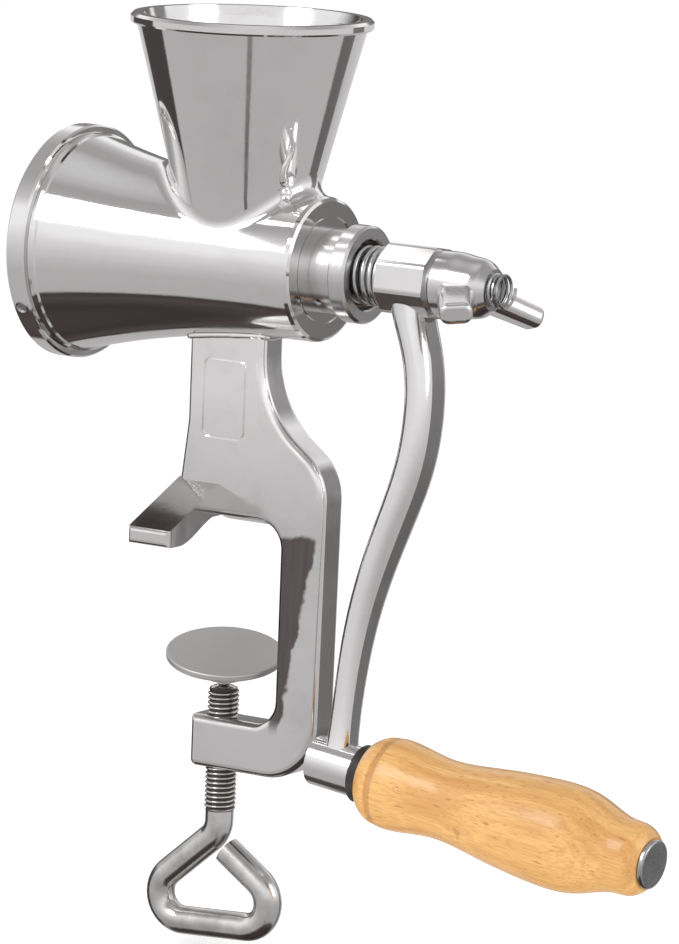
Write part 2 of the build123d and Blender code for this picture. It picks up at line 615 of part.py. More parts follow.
with BuildPart() as wing_nut:
    with BuildSketch(TURNED):
        with BuildLine():
            Polyline((NUT_X + 0.1, 0), (NUT_X + 0.1, NUT_BASE_R - 0.8), (NUT_X + 0.9, NUT_BASE_R),
                     (NUT_X + 5, NUT_BASE_R))
            Spline((NUT_X + 5, NUT_BASE_R), (NUT_END_X - 8, 9.7), (NUT_END_X - 2, NUT_NOSE_R),
                   tangents=((1, 0), (0.7, -0.7)))
            Polyline((NUT_END_X - 2, NUT_NOSE_R), (NUT_END_X, 6.4), (NUT_END_X, 0), (NUT_X + 0.1, 0))
        make_face()
    revolve(axis=SHAFT_AXIS)
    for side in (-1, 1):
        level = Vector(0, side * cos(radians(WING_DROOP)), -sin(radians(WING_DROOP)))
        level = level.rotate(Axis.X, WING_TURN * -1)
        out = (X_AXIS * 0.53 + level * 0.85).normalized()
        root = Vector(NUT_X + 7, 0, SHAFT_Z) + level * 4.0
        with BuildSketch(Plane(origin=root, x_dir=X_AXIS - out * out.dot(X_AXIS), z_dir=out)):
            RectangleRounded(12.5, 7.6, 3.4)
        tip = root + out * WING_LENGTH
        with BuildSketch(Plane(origin=tip, x_dir=X_AXIS - out * out.dot(X_AXIS), z_dir=out)):
            RectangleRounded(10.0, 6.6, 2.9)
        loft()
        fillet([edge for edge in wing_nut.edges() if (edge.center() - tip).length < 6], 1.6)
    with BuildSketch(at_x(NUT_X)):
        Circle(THREAD_HOLE_R)
    extrude(amount=NUT_END_X - NUT_X + 1, mode=Mode.SUBTRACT)
save(wing_nut, "wing_nut")


# ---------------------------------------------------------------- clamp screw, ball and pad
with BuildPart() as clamp_screw:
    with BuildSketch(Plane.XY.offset(THREAD_END_Z)):
        Circle(THREAD_R)
    extrude(amount=SCREW_TOP_Z - THREAD_END_Z)
    with BuildSketch(Plane.XY.offset(SCREW_TOP_Z)):
        Circle(1.9)
    extrude(amount=BALL_Z + 2 - SCREW_TOP_Z)
    with BuildLine():
        loop = FilletPolyline(
            (0, 0, THREAD_END_Z), (0, 0, -94.5), (-37.4, 0, -126.8), (36.2, 0, -122.0), (3.2, 0, -100.0),
            radius=[9.0, 8.0, 8.0],
        )
    with BuildSketch(Plane(origin=(0, 0, THREAD_END_Z), z_dir=(0, 0, -1))):
        Circle(ROD_R)
    sweep(path=loop)
save(clamp_screw, "clamp_screw")

BALL_CENTRE = Vector(0, 0, BALL_Z)
with BuildPart() as swivel_ball:
    with Locations((0, 0, BALL_Z)):
        Sphere(BALL_R)
    with BuildSketch(Plane.XY.offset(BALL_Z - BALL_R - 1)):
        Circle(1.9 + FIT)
    extrude(amount=BALL_R + 3.2, mode=Mode.SUBTRACT)
save(swivel_ball, "swivel_ball")

tilt_axis = Vector(cos(radians(PAD_LOLL_AZIMUTH)), sin(radians(PAD_LOLL_AZIMUTH)), 0)
pad_normal = Vector(0, 0, 1).rotate(Axis((0, 0, 0), tuple(tilt_axis)), PAD_TILT)


def pad_plane(height):
    """Plane across the pad at a height above the ball's centre, along the pad's own normal."""
    return Plane(origin=BALL_CENTRE + pad_normal * height, x_dir=tilt_axis, z_dir=pad_normal)


with BuildPart() as clamp_pad:
    with BuildSketch(pad_plane(3.6)):
        Circle(PAD_R)
    extrude(amount=PAD_T)
    fillet(clamp_pad.edges(), 0.6)
    with BuildSketch(pad_plane(-2.4)):
        Circle(6.6)
    extrude(amount=6.2)
    with Locations(tuple(BALL_CENTRE)):
        Sphere(BALL_R + 0.1, mode=Mode.SUBTRACT)
    with BuildSketch(pad_plane(-2.5)):
        Circle(4.2)
    with BuildSketch(pad_plane(-0.6)):
        Circle(3.4)
    loft(mode=Mode.SUBTRACT)
save(clamp_pad, "clamp_pad")
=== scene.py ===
# %% [markdown]
# # A hand-crank table mill
# The mill is polished cast steel: a hopper on a bell-shaped barrel, and a clamp frame below. A crank with a
# wooden grip drives a burr cone inside the bell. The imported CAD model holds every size, fit and joint, so
# this lesson never moves a CAD part. It gives each part its finish and adds what a plain solid leaves out:
# rolled threads, a closed-end spring, weld beads and the small marks that casting and polishing leave.

import json
from math import cos, pi, radians, sin, tau

import bmesh
import bpy
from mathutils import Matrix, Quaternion, Vector
from mathutils.bvhtree import BVHTree


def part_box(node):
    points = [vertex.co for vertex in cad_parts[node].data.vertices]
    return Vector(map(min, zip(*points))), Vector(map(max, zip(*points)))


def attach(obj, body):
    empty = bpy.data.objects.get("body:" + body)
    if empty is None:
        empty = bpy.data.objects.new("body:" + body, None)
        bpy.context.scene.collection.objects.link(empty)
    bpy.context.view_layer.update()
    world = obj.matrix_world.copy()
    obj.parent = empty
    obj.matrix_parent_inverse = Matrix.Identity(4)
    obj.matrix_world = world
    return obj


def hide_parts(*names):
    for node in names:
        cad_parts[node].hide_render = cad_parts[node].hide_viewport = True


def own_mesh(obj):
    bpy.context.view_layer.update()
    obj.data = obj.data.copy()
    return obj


MM = 0.001
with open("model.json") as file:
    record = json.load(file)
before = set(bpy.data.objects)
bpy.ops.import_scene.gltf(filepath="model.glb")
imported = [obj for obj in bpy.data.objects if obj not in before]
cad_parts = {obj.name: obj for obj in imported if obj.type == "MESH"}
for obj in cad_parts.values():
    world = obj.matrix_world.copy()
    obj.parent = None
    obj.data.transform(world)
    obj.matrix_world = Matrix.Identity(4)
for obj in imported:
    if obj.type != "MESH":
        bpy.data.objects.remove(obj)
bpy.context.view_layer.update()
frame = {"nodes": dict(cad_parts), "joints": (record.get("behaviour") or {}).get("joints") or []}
joints = {joint["name"]: joint for joint in frame["joints"]}

# %% [markdown]
# ## A short way to write node trees
# A finish is a sum: base tone, plus stain where a mask says, minus gloss where the surface is worn. Wiring
# each Math node by hand hides that sum, so a small class wraps one output socket and lets Python's own
# + - * and / write the nodes. Colours go through Mix nodes, since Math would turn them grey.

# %% Wires and graphs
class Wire:
    """One output socket. Sums on it add Math nodes."""

    def __init__(self, graph, socket):
        self.graph, self.socket = graph, socket

    def math(self, operation, other=0.0, swapped=False, clamp=False):
        first, second = (other, self) if swapped else (self, other)
        settings = {"operation": operation, "use_clamp": clamp}
        return self.graph.add("ShaderNodeMath", settings, {0: first, 1: second})

    def __add__(self, other):
        return self.math("ADD", other)

    def __sub__(self, other):
        return self.math("SUBTRACT", other)

    def __rsub__(self, other):
        return self.math("SUBTRACT", other, swapped=True)

    def __mul__(self, other):
        return self.math("MULTIPLY", other)

    def __truediv__(self, other):
        return self.math("DIVIDE", other)

    def __rtruediv__(self, other):
        return self.math("DIVIDE", other, swapped=True)

    __radd__, __rmul__ = __add__, __mul__


class Graph:
    """A node tree that is being written, for a finish, the studio or Geometry Nodes."""

    def __init__(self, tree):
        self.tree = tree
        tree.nodes.clear()

    def add(self, kind, settings=None, values=None, out=0):
        """Makes a node: its settings first, then its sockets' values or links. Returns one output."""
        node = self.tree.nodes.new(kind)
        for name, value in (settings or {}).items():
            if name == "stops":
                self.set_stops(node.color_ramp, value)
            else:
                setattr(node, name, value)
        for key, value in (values or {}).items():
            if isinstance(value, Wire):
                self.tree.links.new(value.socket, node.inputs[key])
            else:
                node.inputs[key].default_value = value
        return Wire(self, node.outputs[out]) if node.outputs else None

    @staticmethod
    def set_stops(ramp, stops):
        while len(ramp.elements) < len(stops):
            ramp.elements.new(0.5)
        for element, (place, colour) in zip(ramp.elements, stops):
            element.position = place
            element.color = (*colour, 1.0) if isinstance(colour, tuple) else (colour, colour, colour, 1.0)

    def split(self, vector):
        parts = self.add("ShaderNodeSeparateXYZ", values={0: vector}).socket.node
        return [Wire(self, parts.outputs[axis]) for axis in range(3)]

    def join(self, x, y, z):
        return self.add("ShaderNodeCombineXYZ", values={0: x, 1: y, 2: z})

    def step(self, value, low, high):
        """0 below low, 1 above high and a smooth rise between. With low above high, it falls instead."""
        falls = not isinstance(low, Wire) and not isinstance(high, Wire) and low > high
        values = {0: value, 1: high if falls else low, 2: low if falls else high}
        rise = self.add("ShaderNodeMapRange", {"interpolation_type": "SMOOTHSTEP"}, values)
        return 1.0 - rise if falls else rise

    def mix(self, share, first, second):
        """Mix of two colours."""
        def colour(value):
            return (*value, 1.0) if isinstance(value, tuple) else value
        values = {0: share, 6: colour(first), 7: colour(second)}
        return self.add("ShaderNodeMix", {"data_type": "RGBA"}, values, out=2)

    def noise(self, place, scale, detail=3.0, rough=0.5):
        values = {"Vector": place, "Scale": scale, "Detail": detail, "Roughness": rough}
        return self.add("ShaderNodeTexNoise", values=values)


print("helpers ready")

# %% [markdown]
# ## The studio
# Polished steel has no colour of its own: it shows the room. The room here is a sphere painted by direction:
# pale walls with a white band, a dark bench below, and four dark upright strips, as a doorway, a gap between
# two sheets, someone standing at the camera and a card behind the mill would give. The camera itself sees
# plain white. Painting the world with nodes costs no geometry and needs no picture file.

# %% Directions in the room
VIEW_AZIMUTH = radians(32.5)
VIEW_ELEVATION = radians(9.42)
VIEW_ROLL = radians(2.17)
VIEW_DISTANCE = 1.848
VIEW_AIM = Vector((0.0399, 0.0, 0.025))
LENS = 228.8

world = bpy.data.worlds.new("studio")
scene = bpy.context.scene
scene.world = world
world.use_nodes = True
room = Graph(world.node_tree)
towards = room.add("ShaderNodeTexCoord", out="Generated")
east, north, height = room.split(towards)
camera_bearing = VIEW_AZIMUTH - pi / 2
bearing = north.math("ARCTAN2", east)


def strip(offset, half_width, soft):
    """1 inside an upright strip of the room, offset radians anticlockwise from the camera's side."""
    middle = (camera_bearing + offset + pi) % tau - pi
    turn = (bearing - middle + 3 * pi).math("FLOORED_MODULO", tau) - pi
    return room.step(turn.math("ABSOLUTE"), half_width + soft, half_width)


print("camera stands at bearing", round(camera_bearing, 3))

# %% Paint the room
STRIP_TONE = (0.030, 0.025, 0.023)
level = height * 0.5 + 0.5
wall = room.add("ShaderNodeValToRGB", {"stops": [
    (0.00, (0.075, 0.060, 0.058)), (0.05, (0.050, 0.040, 0.038)), (0.09, (0.090, 0.072, 0.070)),
    (0.118, (0.055, 0.044, 0.042)), (0.128, (0.50, 0.49, 0.49)), (0.30, (0.52, 0.51, 0.51)),
    (0.42, (0.66, 0.65, 0.65)), (0.52, (0.80, 0.79, 0.79)), (0.62, (1.02, 1.02, 1.02)),
    (0.73, (1.02, 1.02, 1.02)), (0.79, (0.66, 0.65, 0.65)), (0.88, (0.44, 0.43, 0.43)),
    (0.94, (0.42, 0.41, 0.41)), (1.00, (0.75, 0.75, 0.75)),
]}, {0: level})
doorway = strip(-radians(129), 0.36, 0.05) * room.step(height, -0.72, -0.66) * room.step(height, 0.30, 0.12)
gap = strip(radians(122), 0.16, 0.05) * room.step(height, 0.55, 0.40)
standing = strip(-0.02, 0.035, 0.03) * room.step(height, -0.52, -0.60)
behind = strip(pi, 0.62, 0.10) * room.step(height, -0.10, 0.0) * room.step(height, 0.36, 0.24)
shade = (doorway * 0.93).math("MAXIMUM", gap * 0.75).math("MAXIMUM", standing * 0.85)
shade = shade.math("MAXIMUM", behind * 0.80)
painted = room.mix(shade, wall, STRIP_TONE)
seen = room.add("ShaderNodeLightPath", out="Is Camera Ray")
shown = room.mix(seen, painted, (1.0, 1.0, 1.0))
background = room.add("ShaderNodeBackground", values={"Color": shown, "Strength": 1.0})
room.add("ShaderNodeOutputWorld", values={"Surface": background})
scene.view_settings.view_transform = "Standard"
print("room painted with", len(world.node_tree.nodes), "nodes")

# %% Camera
def place_object(name, data):
    """Makes an object of some data and puts it in the scene."""
    thing = bpy.data.objects.new(name, data)
    scene.collection.objects.link(thing)
    return thing


camera_data = bpy.data.cameras.new("camera")
camera_data.sensor_fit = "AUTO"
camera_data.sensor_width = 36.0
camera_data.lens = LENS
camera_data.clip_end = 60.0
camera = place_object("camera", camera_data)
back = Vector((
    sin(VIEW_AZIMUTH) * cos(VIEW_ELEVATION), -cos(VIEW_AZIMUTH) * cos(VIEW_ELEVATION), sin(VIEW_ELEVATION),
))
camera.location = VIEW_AIM + back * VIEW_DISTANCE
camera.rotation_mode = "QUATERNION"
camera.rotation_quaternion = back.to_track_quat("Z", "Y") @ Quaternion((0, 0, 1), VIEW_ROLL)
scene.camera = camera
print("camera at", [round(value, 3) for value in camera.location])

# %% Soft lamps
def lamp(name, offset, elevation, distance, size, power):
    """A square soft lamp that faces the mill, offset radians anticlockwise from the camera's side."""
    data = bpy.data.lights.new(name, "AREA")
    data.size, data.energy = size, power
    heading = camera_bearing + offset
    away = Vector((cos(heading) * cos(elevation), sin(heading) * cos(elevation), sin(elevation)))
    thing = place_object(name, data)
    thing.location = VIEW_AIM + away * distance
    thing.rotation_mode = "QUATERNION"
    thing.rotation_quaternion = away.to_track_quat("Z", "Y")


lamp("key_lamp", -radians(55), radians(38), 1.6, 0.7, 9.0)
lamp("fill_lamp", radians(60), radians(25), 1.8, 0.9, 5.0)

# %% Floor
lowest = min(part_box(name)[0].z for name in frame["nodes"])
FLOOR_HALF = 14.0
FLOOR_DROP = 0.004


def paper_finish():
    paper = bpy.data.materials.new("paper_floor")
    paper.use_nodes = True
    tree = Graph(paper.node_tree)
    place = tree.add("ShaderNodeTexCoord", out="Object")
    tone = tree.mix(tree.noise(place, 3.0), (0.90, 0.90, 0.90), (0.93, 0.93, 0.93))
    matt = tree.add("ShaderNodeBsdfPrincipled", values={
        "Base Color": tone, "Roughness": 0.9, "Emission Color": (1, 1, 1, 1), "Emission Strength": 0.42,
    })
    tree.add("ShaderNodeOutputMaterial", values={"Surface": matt})
    return paper


floor_mesh = bpy.data.meshes.new("floor")
floor_z = lowest - FLOOR_DROP
corner_signs = ((-1, -1), (1, -1), (1, 1), (-1, 1))
floor_corners = [(x * FLOOR_HALF, y * FLOOR_HALF, floor_z) for x, y in corner_signs]
floor_mesh.from_pydata(floor_corners, [], [(0, 1, 2, 3)])
floor_mesh.materials.append(paper_finish())
floor = place_object("floor", floor_mesh)
floor.visible_glossy = False
print("floor at", round(floor_z, 4))

# %% [markdown]
# ## Polished casting
# The body, the frame, the crank arm and the wing nut are stainless castings, ground and then buffed on a felt
# wheel. Buffing leaves three things at three sizes: a slow waviness of a few centimetres that bends the
# reflections, fine lines from the felt, and cloudy patches where the wheel ran dry. All three are noise of
# different scale, so one function makes them and each casting picks its own amounts.

# %% Coordinates and closing of a finish
def new_finish(name):
    finish = bpy.data.materials.new(name)
    finish.use_nodes = True
    tree = Graph(finish.node_tree)
    return finish, tree, tree.add("ShaderNodeTexCoord", out="Object")


def close_finish(tree, surface, relief, depth):
    """Adds the surface shader, with a Bump node that makes the relief so many metres deep."""
    bumps = tree.add("ShaderNodeBump", values={"Strength": 1.0, "Distance": depth, "Height": relief})
    shader = tree.add("ShaderNodeBsdfPrincipled", values={**surface, "Normal": bumps})
    tree.add("ShaderNodeOutputMaterial", values={"Surface": shader})


def stretched(tree, place, sizes, centre=(0.0, 0.0, 0.0), turn=(0.0, 0.0, 0.0)):
    """The place measured in grains of the given sizes, from a centre and along turned axes."""
    values = {"Vector": place, "Location": centre, "Rotation": turn, "Scale": sizes}
    return tree.add("ShaderNodeMapping", {"vector_type": "TEXTURE"}, values)


FELT_SIZES = (0.02, 0.0007, 0.0007)
FELT_DEPTH = 0.0000016
STEEL_TONE = (0.80, 0.79, 0.79)


def darker(tone, share):
    return tuple(value * share for value in tone)


def buffed(tree, place, wave_depth):
    """Relief, felt lines and clouds that buffing leaves on a casting."""
    wave = tree.noise(place, 26.0, detail=1.0) + tree.noise(place, 90.0, detail=2.0) * 0.22
    felt = tree.noise(stretched(tree, place, FELT_SIZES), 1.0, detail=2.0)
    cloud = tree.step(tree.noise(place, 60.0, detail=4.0, rough=0.6), 0.42, 0.75)
    relief = wave + felt * (FELT_DEPTH / wave_depth)
    return relief, felt, cloud


def close_metal(tree, colour, gloss, relief, depth):
    close_finish(tree, {"Base Color": colour, "Metallic": 1.0, "Roughness": gloss}, relief, depth)


def polished_finish(name, tone, least_rough, wave_depth):
    finish, tree, place = new_finish(name)
    relief, felt, cloud = buffed(tree, place, wave_depth)
    colour = tree.mix(cloud * 0.35 + felt * 0.15, tone, darker(tone, 0.86))
    close_metal(tree, colour, felt * 0.05 + cloud * 0.07 + least_rough, relief, wave_depth)
    return finish


crank_polish = polished_finish("crank_polish", STEEL_TONE, 0.105, 0.00018)
nut_polish = polished_finish("nut_polish", (0.72, 0.71, 0.71), 0.115, 0.00014)
print("castings:", crank_polish.name, nut_polish.name)

# %% [markdown]
# The frame is the flattest casting, so its face shows one small part of the room at a time. A tongue of the
# column shows a dark reflection of the bench. A hollow deep enough to mirror it would change the part's size,
# so the finish paints that reflection into the colour of the tongue, as a painted reflection with a sharp
# upper edge and a ragged side, and leaves the shape alone. The neck faces the bright wall, so its colour is
# painted paler.

# %% Frame casting with its painted reflections
COLUMN_IN, COLUMN_WIDTH = 22.5 * MM, 15.8 * MM
REFLECTION_TOP, REFLECTION_FOOT = 4.0 * MM, -60.0 * MM
REFLECTION_SHARE, REFLECTION_TAPER = 0.86, 0.72
FRAME_WAVE = 0.00034


def frame_finish():
    finish, tree, place = new_finish("frame_polish")
    relief, felt, cloud = buffed(tree, place, FRAME_WAVE)
    x, y, z = tree.split(place)
    ragged = tree.noise(place, 120.0, detail=3.0) * 0.006 - 0.003
    fall = (REFLECTION_TOP - z) / (REFLECTION_TOP - REFLECTION_FOOT)
    side = COLUMN_IN + COLUMN_WIDTH * (REFLECTION_SHARE - fall * REFLECTION_TAPER) + ragged
    # Painted reflection of the dark bench: a tongue of the column painted near black, sharp at the top,
    # ragged at the side
    painted_bench_reflection = tree.step(side - x, -0.0006, 0.0006) * tree.step(x, COLUMN_IN - 0.0020, COLUMN_IN - 0.0005)
    painted_bench_reflection = painted_bench_reflection * tree.step(z, REFLECTION_FOOT, REFLECTION_FOOT + 0.006) * tree.step(y, -0.0025, -0.0045)
    painted_bench_reflection = painted_bench_reflection * tree.step(z + ragged, REFLECTION_TOP + 0.0008, REFLECTION_TOP - 0.0008)
    reflection_streaks = tree.noise(stretched(tree, place, (0.0016, 0.0016, 0.02)), 1.0, detail=2.0)
    broad = tree.noise(place, 34.0, detail=3.0, rough=0.6)
    # Painted reflection of the bright wall: both the plain and the worn copy of the colour are painted paler
    # towards the top
    painted_wall_sheen = tree.step(z + broad * 0.03, 0.020, 0.070)
    tone = tree.mix(painted_wall_sheen, (0.76, 0.75, 0.75), (0.99, 0.98, 0.98))
    worn_with_wall_sheen = tree.mix(painted_wall_sheen, (0.60, 0.59, 0.59), (0.80, 0.79, 0.79))
    colour = tree.mix(cloud * 0.35 + felt * 0.15 + tree.step(broad, 0.45, 0.70) * 0.35, tone, worn_with_wall_sheen)
    # The near-black colour of that painted reflection, streaked along the column
    dark = tree.mix(reflection_streaks, (0.075, 0.062, 0.060), (0.16, 0.14, 0.135))
    colour = tree.mix(painted_bench_reflection * 0.94, colour, dark)
    close_metal(tree, colour, felt * 0.05 + cloud * 0.07 + 0.09, relief, FRAME_WAVE)
    return finish


frame_polish = frame_finish()
print("frame tongue from", REFLECTION_TOP, "to", REFLECTION_FOOT)

# %% [markdown]
# The body casting needs one more idea. Only the outside is buffed: the inside of the hopper and of the bell
# stays as it came from the mould, grey and pitted. Both are one mesh, so a mask tells them apart by how far a
# point lies from the hopper's axis or the shaft's, compared with each cone's own slope.

# %% Body casting, bright outside and rough inside
body_low, body_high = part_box("mill_body")
HOPPER_AXIS_X = 0.002
HOPPER_SLOPE, INSIDE_AT_RIM = 0.26, 0.0339
HOPPER_FLOOR_Z = 0.103
SEAT_SLOPE, SEAT_AT_MOUTH = 0.248, 0.033
BODY_WAVE = 0.00014
SHAFT_Z = joints["crank_turn"]["pos_m"][2]


def radius_from(first, second):
    """Distance from an axis, from the two coordinates across it."""
    return (first * first + second * second).math("SQRT")


def body_finish():
    finish, tree, place = new_finish("body_polish")
    relief, felt, cloud = buffed(tree, place, BODY_WAVE)
    x, y, z = tree.split(place)
    from_axis = radius_from(x - HOPPER_AXIS_X, y)
    inner_cone = (z - body_high.z) * HOPPER_SLOPE + INSIDE_AT_RIM
    in_hopper = tree.step(inner_cone - from_axis, -0.0002, 0.0008)
    in_hopper = in_hopper * tree.step(z, HOPPER_FLOOR_Z, HOPPER_FLOOR_Z + 0.003)
    from_shaft = radius_from(y, z - SHAFT_Z)
    seat_cone = (x - body_low.x) * -SEAT_SLOPE + SEAT_AT_MOUTH
    in_bell = tree.step(seat_cone - from_shaft, -0.0008, 0.0)
    raw = in_hopper.math("MAXIMUM", in_bell)
    pits = tree.noise(place, 420.0, detail=5.0, rough=0.7)
    skin = tree.noise(place, 130.0, detail=4.0, rough=0.6)
    bright = tree.mix(cloud * 0.3 + felt * 0.12, (0.82, 0.81, 0.81), (0.68, 0.67, 0.67))
    dull = tree.mix(tree.step(skin, 0.35, 0.65), (0.50, 0.49, 0.48), (0.66, 0.65, 0.65))
    colour = tree.mix(raw, bright, dull)
    buffed_gloss = felt * 0.05 + cloud * 0.05 + 0.04
    gloss = buffed_gloss + raw * (skin * 0.25 + 0.26 - buffed_gloss)
    pitted = pits * 1.17 + skin * 0.936
    close_metal(tree, colour, gloss, relief * (1.0 - raw) + pitted * raw, BODY_WAVE)
    return finish


body_polish = body_finish()
print("body finish ready")

# %% [markdown]
# ## Turned, drawn and cut steel
# The bearing, the shaft and the washers come off a lathe, so their marks are rings about the shaft. The noise
# takes its place from two numbers, the distance along the shaft and the distance from it. Both are the same
# all the way round, so each mark closes into a ring. Screws, wire and cast burrs get an even grain instead.

# %% Turned steel
def turned_finish(name, tone, base_rough):
    finish, tree, place = new_finish(name)
    x, y, z = tree.split(place)
    from_shaft = radius_from(y, z - SHAFT_Z)
    rings = tree.noise(tree.join(x * 2600.0, from_shaft * 2600.0, 0.0), 1.0, detail=2.0)
    cloud = tree.noise(place, 140.0, detail=3.0)
    colour = tree.mix(rings * 0.4 + cloud * 0.4, tone, darker(tone, 0.72))
    close_metal(tree, colour, rings * 0.12 + cloud * 0.08 + base_rough, rings, 0.000004)
    return finish


bearing_steel = turned_finish("bearing_steel", (0.74, 0.73, 0.73), 0.12)
shaft_steel = turned_finish("shaft_steel", (0.66, 0.66, 0.67), 0.16)
washer_steel = turned_finish("washer_steel", (0.60, 0.60, 0.61), 0.20)
bronze = turned_finish("bronze", (0.62, 0.44, 0.22), 0.28)
print("turned steel ready")

# %% Fasteners, burrs and spring wire
def plain_steel_finish(name, tone, base_rough, grain, depth):
    """Steel with an even small grain: plated screws, wire, cast burrs."""
    finish, tree, place = new_finish(name)
    fine = tree.noise(place, grain, detail=4.0, rough=0.6)
    broad = tree.noise(place, grain / 6.0, detail=3.0)
    colour = tree.mix(tree.step(broad, 0.3, 0.7), tone, darker(tone, 0.7))
    close_metal(tree, colour, fine * 0.14 + broad * 0.08 + base_rough, fine, depth)
    return finish


fastener_steel = plain_steel_finish("fastener_steel", (0.62, 0.62, 0.63), 0.14, 500.0, 0.00001)
spring_steel = plain_steel_finish("spring_steel", (0.70, 0.70, 0.70), 0.12, 900.0, 0.000004)
burr_steel = plain_steel_finish("burr_steel", (0.40, 0.39, 0.38), 0.30, 420.0, 0.00006)
auger_steel = plain_steel_finish("auger_steel", (0.52, 0.51, 0.50), 0.26, 300.0, 0.00004)
rod_steel = plain_steel_finish("rod_steel", (0.74, 0.73, 0.72), 0.09, 700.0, 0.000006)
print("small steel finishes ready")

# %% [markdown]
# The roots of the clamp screw's thread are painted near black, a painted shade in the grooves, and its crests
# bright. The root is simply nearer to the screw's axis, so a mask on that distance finds it.

# %% Thread with painted shade in its roots
ROOT_R, CREST_R = 4.52 * MM, 4.82 * MM


def thread_finish():
    finish, tree, place = new_finish("thread_steel")
    x, y, _ = tree.split(place)
    crest_outside_painted_shade = tree.step(radius_from(x, y), ROOT_R, CREST_R)
    fine = tree.noise(place, 900.0, detail=3.0)
    # Painted shade: the thread's roots are coloured near black, its crests bright
    colour = tree.mix(crest_outside_painted_shade, (0.10, 0.09, 0.085), (0.70, 0.69, 0.68))
    close_metal(tree, colour, 0.42 - crest_outside_painted_shade * 0.26 + fine * 0.08, fine, 0.000006)
    return finish


thread_steel = thread_finish()
print("thread finish ready")

# %% [markdown]
# ## Satin plate and rubber
# The pad is a pressed disc with a satin finish that hardly mirrors anything, so it needs a high roughness and
# the fine concentric lines of the press tool. They are centred on the pad with a Mapping node. The washer
# under the grip is matt black rubber, with a slight bloom.

# %% Pad and rubber
pad_low, pad_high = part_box("clamp_pad")
pad_middle = (pad_low + pad_high) / 2


def pad_finish():
    finish, tree, place = new_finish("satin_plate")
    x, y, _ = tree.split(stretched(tree, place, (1.0, 1.0, 1.0), tuple(pad_middle)))
    rings = tree.noise(tree.join(radius_from(x, y) * 1500.0, 0.0, 0.0), 1.0, detail=2.0)
    cloud = tree.noise(place, 70.0, detail=3.0)
    colour = tree.mix(rings * 0.3 + cloud * 0.3, (0.62, 0.61, 0.605), (0.54, 0.53, 0.525))
    gloss = cloud * 0.1 + 0.44
    close_finish(tree, {"Base Color": colour, "Metallic": 0.85, "Roughness": gloss}, rings, 0.000003)
    return finish


def rubber_finish():
    finish, tree, place = new_finish("black_rubber")
    fine = tree.noise(place, 900.0, detail=3.0)
    bloom = tree.step(tree.noise(place, 160.0), 0.45, 0.7)
    colour = tree.mix(bloom, (0.018, 0.015, 0.014), (0.045, 0.038, 0.034))
    close_finish(tree, {"Base Color": colour, "Roughness": fine * 0.15 + 0.45}, fine, 0.00002)
    return finish


satin_plate = pad_finish()
black_rubber = rubber_finish()
print("pad centre", [round(value, 4) for value in pad_middle])

# %% [markdown]
# ## Varnished beech
# The grip is turned from a beech blank, so its growth rings run nearly along it and show as long soft bands,
# with the short dark flecks that beech has and a few darker knocks. Noise that is stretched along the grip's
# axis makes the grain, a clear coat stands for the varnish, and a dark line along the turned groove is
# painted shade. The axis comes from the grip's joint.

# %% Wood
grip_joint = joints["grip_spin"]
grip_centre = Vector(grip_joint["pos_m"])
grip_axis = Vector(grip_joint["axis"]).normalized()
grip_turn = grip_axis.to_track_quat("X", "Z").to_euler()
GROOVE_AT = 0.0195
DARK_GRAIN = (0.34, 0.15, 0.05)


def wood_finish():
    finish, tree, place = new_finish("varnished_beech")
    along = stretched(tree, place, (1.0, 1.0, 1.0), tuple(grip_centre), tuple(grip_turn))
    x, y, z = tree.split(along)
    sway = tree.noise(along, 14.0, detail=1.0) * 0.004
    ring_place = tree.join(x * 3.0, (y + sway) * 95.0, (z + sway) * 40.0)
    bands = tree.noise(ring_place, 1.0, detail=3.0, rough=0.55)
    fibre = tree.noise(tree.join(x * 70.0, y * 1900.0, z * 1900.0), 1.0, detail=3.0, rough=0.6)
    fleck_place = tree.join(x * 260.0, y * 1500.0, z * 1500.0)
    flecks = tree.step(tree.noise(fleck_place, 1.0, detail=1.0), 0.66, 0.74)
    marks = tree.step(tree.noise(place, 95.0, detail=2.0), 0.70, 0.76)
    tone = tree.add("ShaderNodeValToRGB", {"stops": [
        (0.30, (0.54, 0.245, 0.066)), (0.42, (0.76, 0.405, 0.122)), (0.52, (0.86, 0.490, 0.165)),
        (0.62, (0.68, 0.340, 0.098)), (0.74, (0.82, 0.455, 0.148)),
    ]}, {0: bands})
    tone = tree.mix(tree.step(fibre, 0.40, 0.68) * 0.45, tone, (0.52, 0.235, 0.062))
    tone = tree.mix(flecks * 0.55, tone, (0.36, 0.15, 0.045))
    tone = tree.mix(marks * 0.45, tone, DARK_GRAIN)
    # Painted shade: a dark line along the turned groove
    painted_groove_shade = tree.step((x - GROOVE_AT).math("ABSOLUTE"), 0.0012, 0.0005)
    tone = tree.mix(painted_groove_shade * 0.45, tone, (0.30, 0.13, 0.05))
    surface = {
        "Base Color": tone, "Roughness": fibre * 0.18 + 0.36, "Coat Weight": 0.55 - marks * 0.3,
        "Coat Roughness": 0.16, "Coat IOR": 1.45,
    }
    close_finish(tree, surface, fibre + bands * 0.6 - flecks * 0.5, 0.00002)
    return finish


varnished_wood = wood_finish()
print("grip turned by", [round(value, 3) for value in grip_turn])

# %% [markdown]
# ## Geometry Nodes helpers
# A thread, a bent rod, a spring and a weld bead are each one small shape that follows a rule, so Geometry
# Nodes make them from a few named sizes. Each tree is built here, gets its sizes through its named inputs,
# and ends in Realize Instances and Set Material. The result is then frozen to a plain mesh, because the
# frame tools and the export want meshes without live modifiers.

# %% Build, run and freeze a tree
MERGE_DISTANCE = 0.000004


